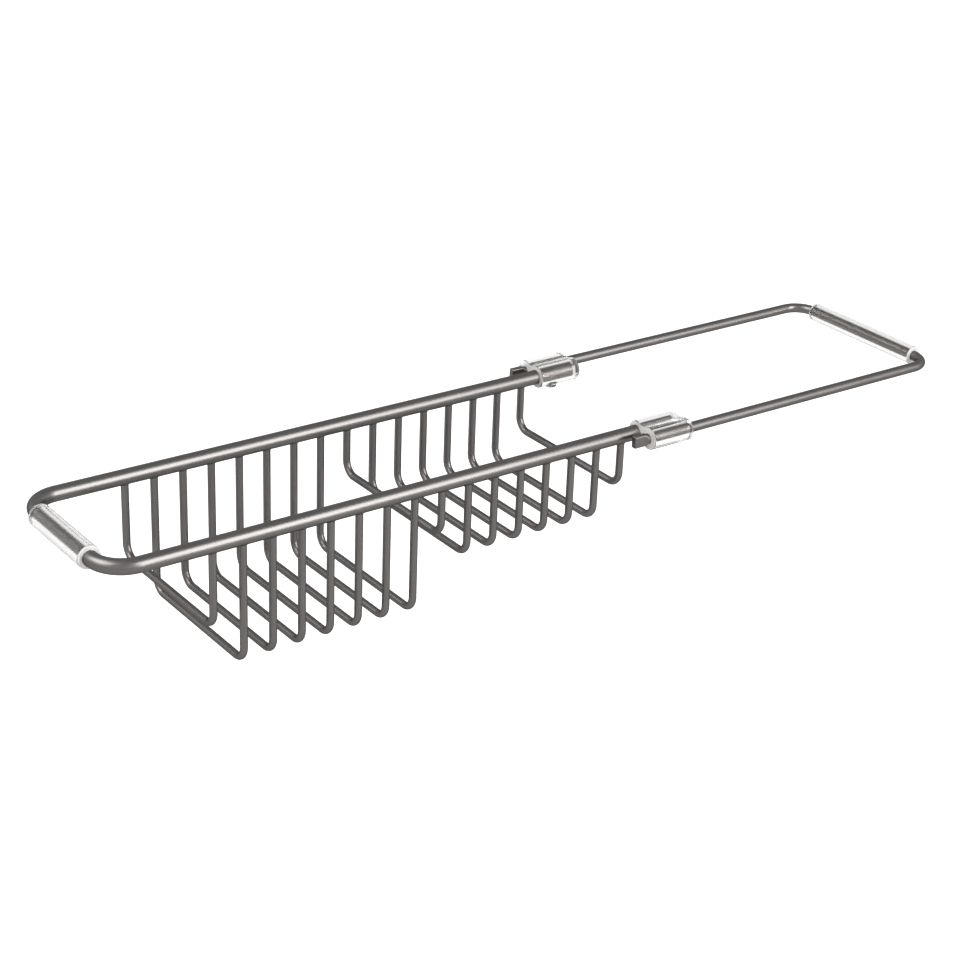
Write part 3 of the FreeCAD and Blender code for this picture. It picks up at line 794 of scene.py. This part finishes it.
def add_floor(stage):
    """Plain white floor well below the holder, which hangs between two edges in use."""
    z = CAD_LOW.z - stage.floor_drop
    corners = [(x * FLOOR_REACH, y * FLOOR_REACH, z) for x, y in ((-1, -1), (1, -1), (1, 1), (-1, 1))]
    mesh = bpy.data.meshes.new("floor")
    mesh.from_pydata(corners, [], [(0, 1, 2, 3)])
    material, start = new_tree("floor_white")
    to_eye, mirrored, through = (
        start.add("ShaderNodeLightPath", output=kind)
        for kind in ("Is Camera Ray", "Is Glossy Ray", "Is Transmission Ray"))
    level = to_eye * EYE_GLOW + mirrored * MIRROR_GLOW + through * CLEAR_GLOW
    matt = start.add("ShaderNodeBsdfDiffuse", {}, {"Color": grey(FLOOR_GREY)})
    glow = start.add("ShaderNodeEmission", {}, {"Color": WHITE, "Strength": level})
    both = start.add("ShaderNodeAddShader", {}, {0: matt, 1: glow})
    start.add("ShaderNodeOutputMaterial", {}, {"Surface": both})
    mesh.materials.append(material)
    floor = bpy.data.objects.new("floor", mesh)
    bpy.context.scene.collection.objects.link(floor)


class HOLDER_OT_stage(bpy.types.Operator):
    """Set up the camera, the soft lamps, the room and the floor"""

    bl_idname = "holder.stage"
    bl_label = "Stage"

    def execute(self, context):
        stage = context.scene.holder_stage
        add_camera(stage)
        add_softbox("front_softbox", FRONT_WAY, FRONT_SIZE, stage.front_power)
        add_softbox("side_softbox", SIDE_WAY, SIDE_SIZE, stage.side_power)
        add_world(stage)
        add_floor(stage)
        context.scene.view_settings.view_transform = "Standard"
        return {"FINISHED"}


class HOLDER_PT_panel(bpy.types.Panel):
    """Lists the holder's steps and settings in the 3D view's sidebar"""

    bl_idname = "HOLDER_PT_panel"
    bl_label = "Sponge holder"
    bl_space_type = "VIEW_3D"
    bl_region_type = "UI"
    bl_category = "Holder"

    def draw(self, context):
        for step in STEPS:
            self.layout.operator(step.bl_idname)
        for name in GROUPS:
            group = getattr(context.scene, name)
            box = self.layout.box()
            for setting in group.bl_rna.properties:
                if setting.identifier not in ("rna_type", "name"):
                    box.prop(group, setting.identifier)


GROUPS = {
    "holder_wire": WireSizes,
    "holder_clear": ClearSizes,
    "holder_finishes": Finishes,
    "holder_stage": StageSettings,
}
STEPS = (
    HOLDER_OT_rails, HOLDER_OT_basket_wires, HOLDER_OT_sliding_frame, HOLDER_OT_sleeves, HOLDER_OT_clips,
    HOLDER_OT_stage)


def register():
    """Adds the settings, the operators and the panel to Blender."""
    for name, group in GROUPS.items():
        bpy.utils.register_class(group)
        setattr(bpy.types.Scene, name, PointerProperty(type=group))
    for kind in (*STEPS, HOLDER_PT_panel):
        bpy.utils.register_class(kind)


def unregister():
    """Takes the panel, the operators and the settings out of Blender."""
    for kind in (HOLDER_PT_panel, *reversed(STEPS)):
        bpy.utils.unregister_class(kind)
    for name, group in reversed(GROUPS.items()):
        delattr(bpy.types.Scene, name)
        bpy.utils.unregister_class(group)


def main():
    """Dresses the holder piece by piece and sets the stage."""
    register()
    bpy.ops.holder.rails()
    bpy.ops.holder.basket_wires()
    bpy.ops.holder.sliding_frame()
    bpy.ops.holder.sleeves()
    bpy.ops.holder.clips()
    bpy.ops.holder.stage()


if __name__ == "__main__":
    main()
